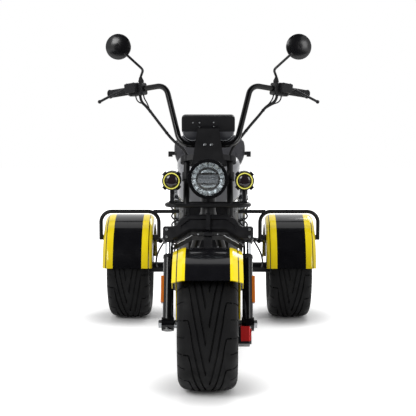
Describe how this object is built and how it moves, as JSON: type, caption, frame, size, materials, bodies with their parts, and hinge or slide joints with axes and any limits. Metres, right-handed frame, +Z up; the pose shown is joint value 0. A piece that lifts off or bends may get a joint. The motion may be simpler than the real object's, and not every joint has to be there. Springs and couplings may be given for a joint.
{
  "type": "electric three-wheeled fat-tyre scooter",
  "caption": "Electric delta trike with a raked steered front wheel, driven rear wheels under striped fenders, high handlebar, floor deck, seat and backrest.",
  "frame": {"origin": "on the ground below the middle of the vehicle's box", "axes": "+Z up, the front faces -Y, +X is the rider's left"},
  "size_m": [1.03, 1.8999, 1.297],
  "materials": {
    "frame_black": "satin powder-coated steel tube",
    "deck_plate": "dark pressed aluminium floor plate",
    "case_black": "moulded black casing, light grain",
    "tank_grey": "grey painted moulded cover",
    "seat_leather": "black stitched leatherette",
    "backrest_leather": "dark grey stitched leatherette",
    "fender_gloss": "gloss black with lemon-yellow stripes",
    "rail_black": "satin black steel tube",
    "axle_black": "black painted axle housing",
    "spring_black": "black coated spring wire",
    "damper_metal": "steel damper",
    "lamp_red": "red lamp lens",
    "hose_rubber": "black hose",
    "fork_black": "satin black cast and painted fork parts",
    "stanchion_chrome": "hard chromed tube",
    "reflector_amber": "amber reflector",
    "axle_steel": "plated axle and spacers",
    "caliper_red": "red brake caliper",
    "lamp_black": "black lamp housing",
    "lamp_clear": "clear moulded lens over a bright reflector",
    "ring_yellow": "pale yellow ring",
    "spot_glass": "dark spot lamp lens",
    "dash_plastic": "moulded black dash housing",
    "bar_gloss": "gloss black handlebar tube",
    "grip_rubber": "ribbed black rubber grip",
    "control_plastic": "black control housings",
    "lever_black": "black cast lever",
    "mirror_black": "gloss black mirror shell",
    "mirror_silver": "mirror glass",
    "cable_sheath": "black sheathed cable bundle",
    "tyre_rubber": "fat tubeless tyre with swept grooves",
    "rim_alloy": "black painted cast alloy rim"
  },
  "bodies": {
    "chassis": {"main_frame": "frame_black", "floor_deck": "deck_plate", "battery_case": "case_black", "body_cowl": "case_black", "tank_cover": "tank_grey", "seat_pan": "case_black", "rider_seat": "seat_leather", "passenger_backrest": "backrest_leather", "backrest_carrier": "frame_black", "rear_axle_beam": "axle_black", "rear_arms": "frame_black", "rear_dampers": "damper_metal", "rear_springs": "spring_black", "rear_fender_left": "fender_gloss", "rear_fender_right": "fender_gloss", "guard_rails": "rail_black", "rear_bar": "rail_black", "tail_lamps": "lamp_red", "brake_hoses": "hose_rubber"},
    "steering": {"steering_stem": "fork_black", "fork_crown": "fork_black", "fork_stanchions": "stanchion_chrome", "fork_sliders": "fork_black", "fork_reflectors": "reflector_amber", "front_axle": "axle_steel", "front_caliper": "caliper_red", "front_fender": "fender_gloss", "fender_yoke": "fork_black", "lamp_frame": "fork_black", "lamp_bracket": "fork_black", "headlamp_body": "lamp_black", "headlamp_lens": "lamp_clear", "spot_lamps": "lamp_black", "spot_lamp_rings": "ring_yellow", "spot_lamp_lenses": "spot_glass", "dash_panel": "dash_plastic", "handlebar": "bar_gloss", "handlebar_grips": "grip_rubber", "control_blocks": "control_plastic", "brake_levers": "lever_black", "mirrors": "mirror_black", "mirror_glass": "mirror_silver", "control_cables": "cable_sheath"},
    "front_wheel": {"front_tyre": "tyre_rubber", "front_rim": "rim_alloy"},
    "rear_wheel_left": {"rear_tyre_left": "tyre_rubber", "rear_rim_left": "rim_alloy"},
    "rear_wheel_right": {"rear_tyre_right": "tyre_rubber", "rear_rim_right": "rim_alloy"}
  },
  "joints": [
    {"name": "steer", "type": "hinge", "parent": "chassis", "child": "steering", "pos_m": [0, -0.44769, 0.68593], "axis": [0, 0.4226, 0.9063], "range_deg": [-35, 35]},
    {"name": "front_wheel_spin", "type": "hinge", "parent": "steering", "child": "front_wheel", "pos_m": [0, -0.7115, 0.2385], "axis": [1, 0, 0], "continuous": true},
    {"name": "rear_wheel_left_spin", "type": "hinge", "parent": "chassis", "child": "rear_wheel_left", "pos_m": [0.379, 0.6465, 0.2385], "axis": [1, 0, 0], "continuous": true},
    {"name": "rear_wheel_right_spin", "type": "hinge", "parent": "chassis", "child": "rear_wheel_right", "pos_m": [-0.379, 0.6465, 0.2385], "axis": [1, 0, 0], "continuous": true}
  ]
}
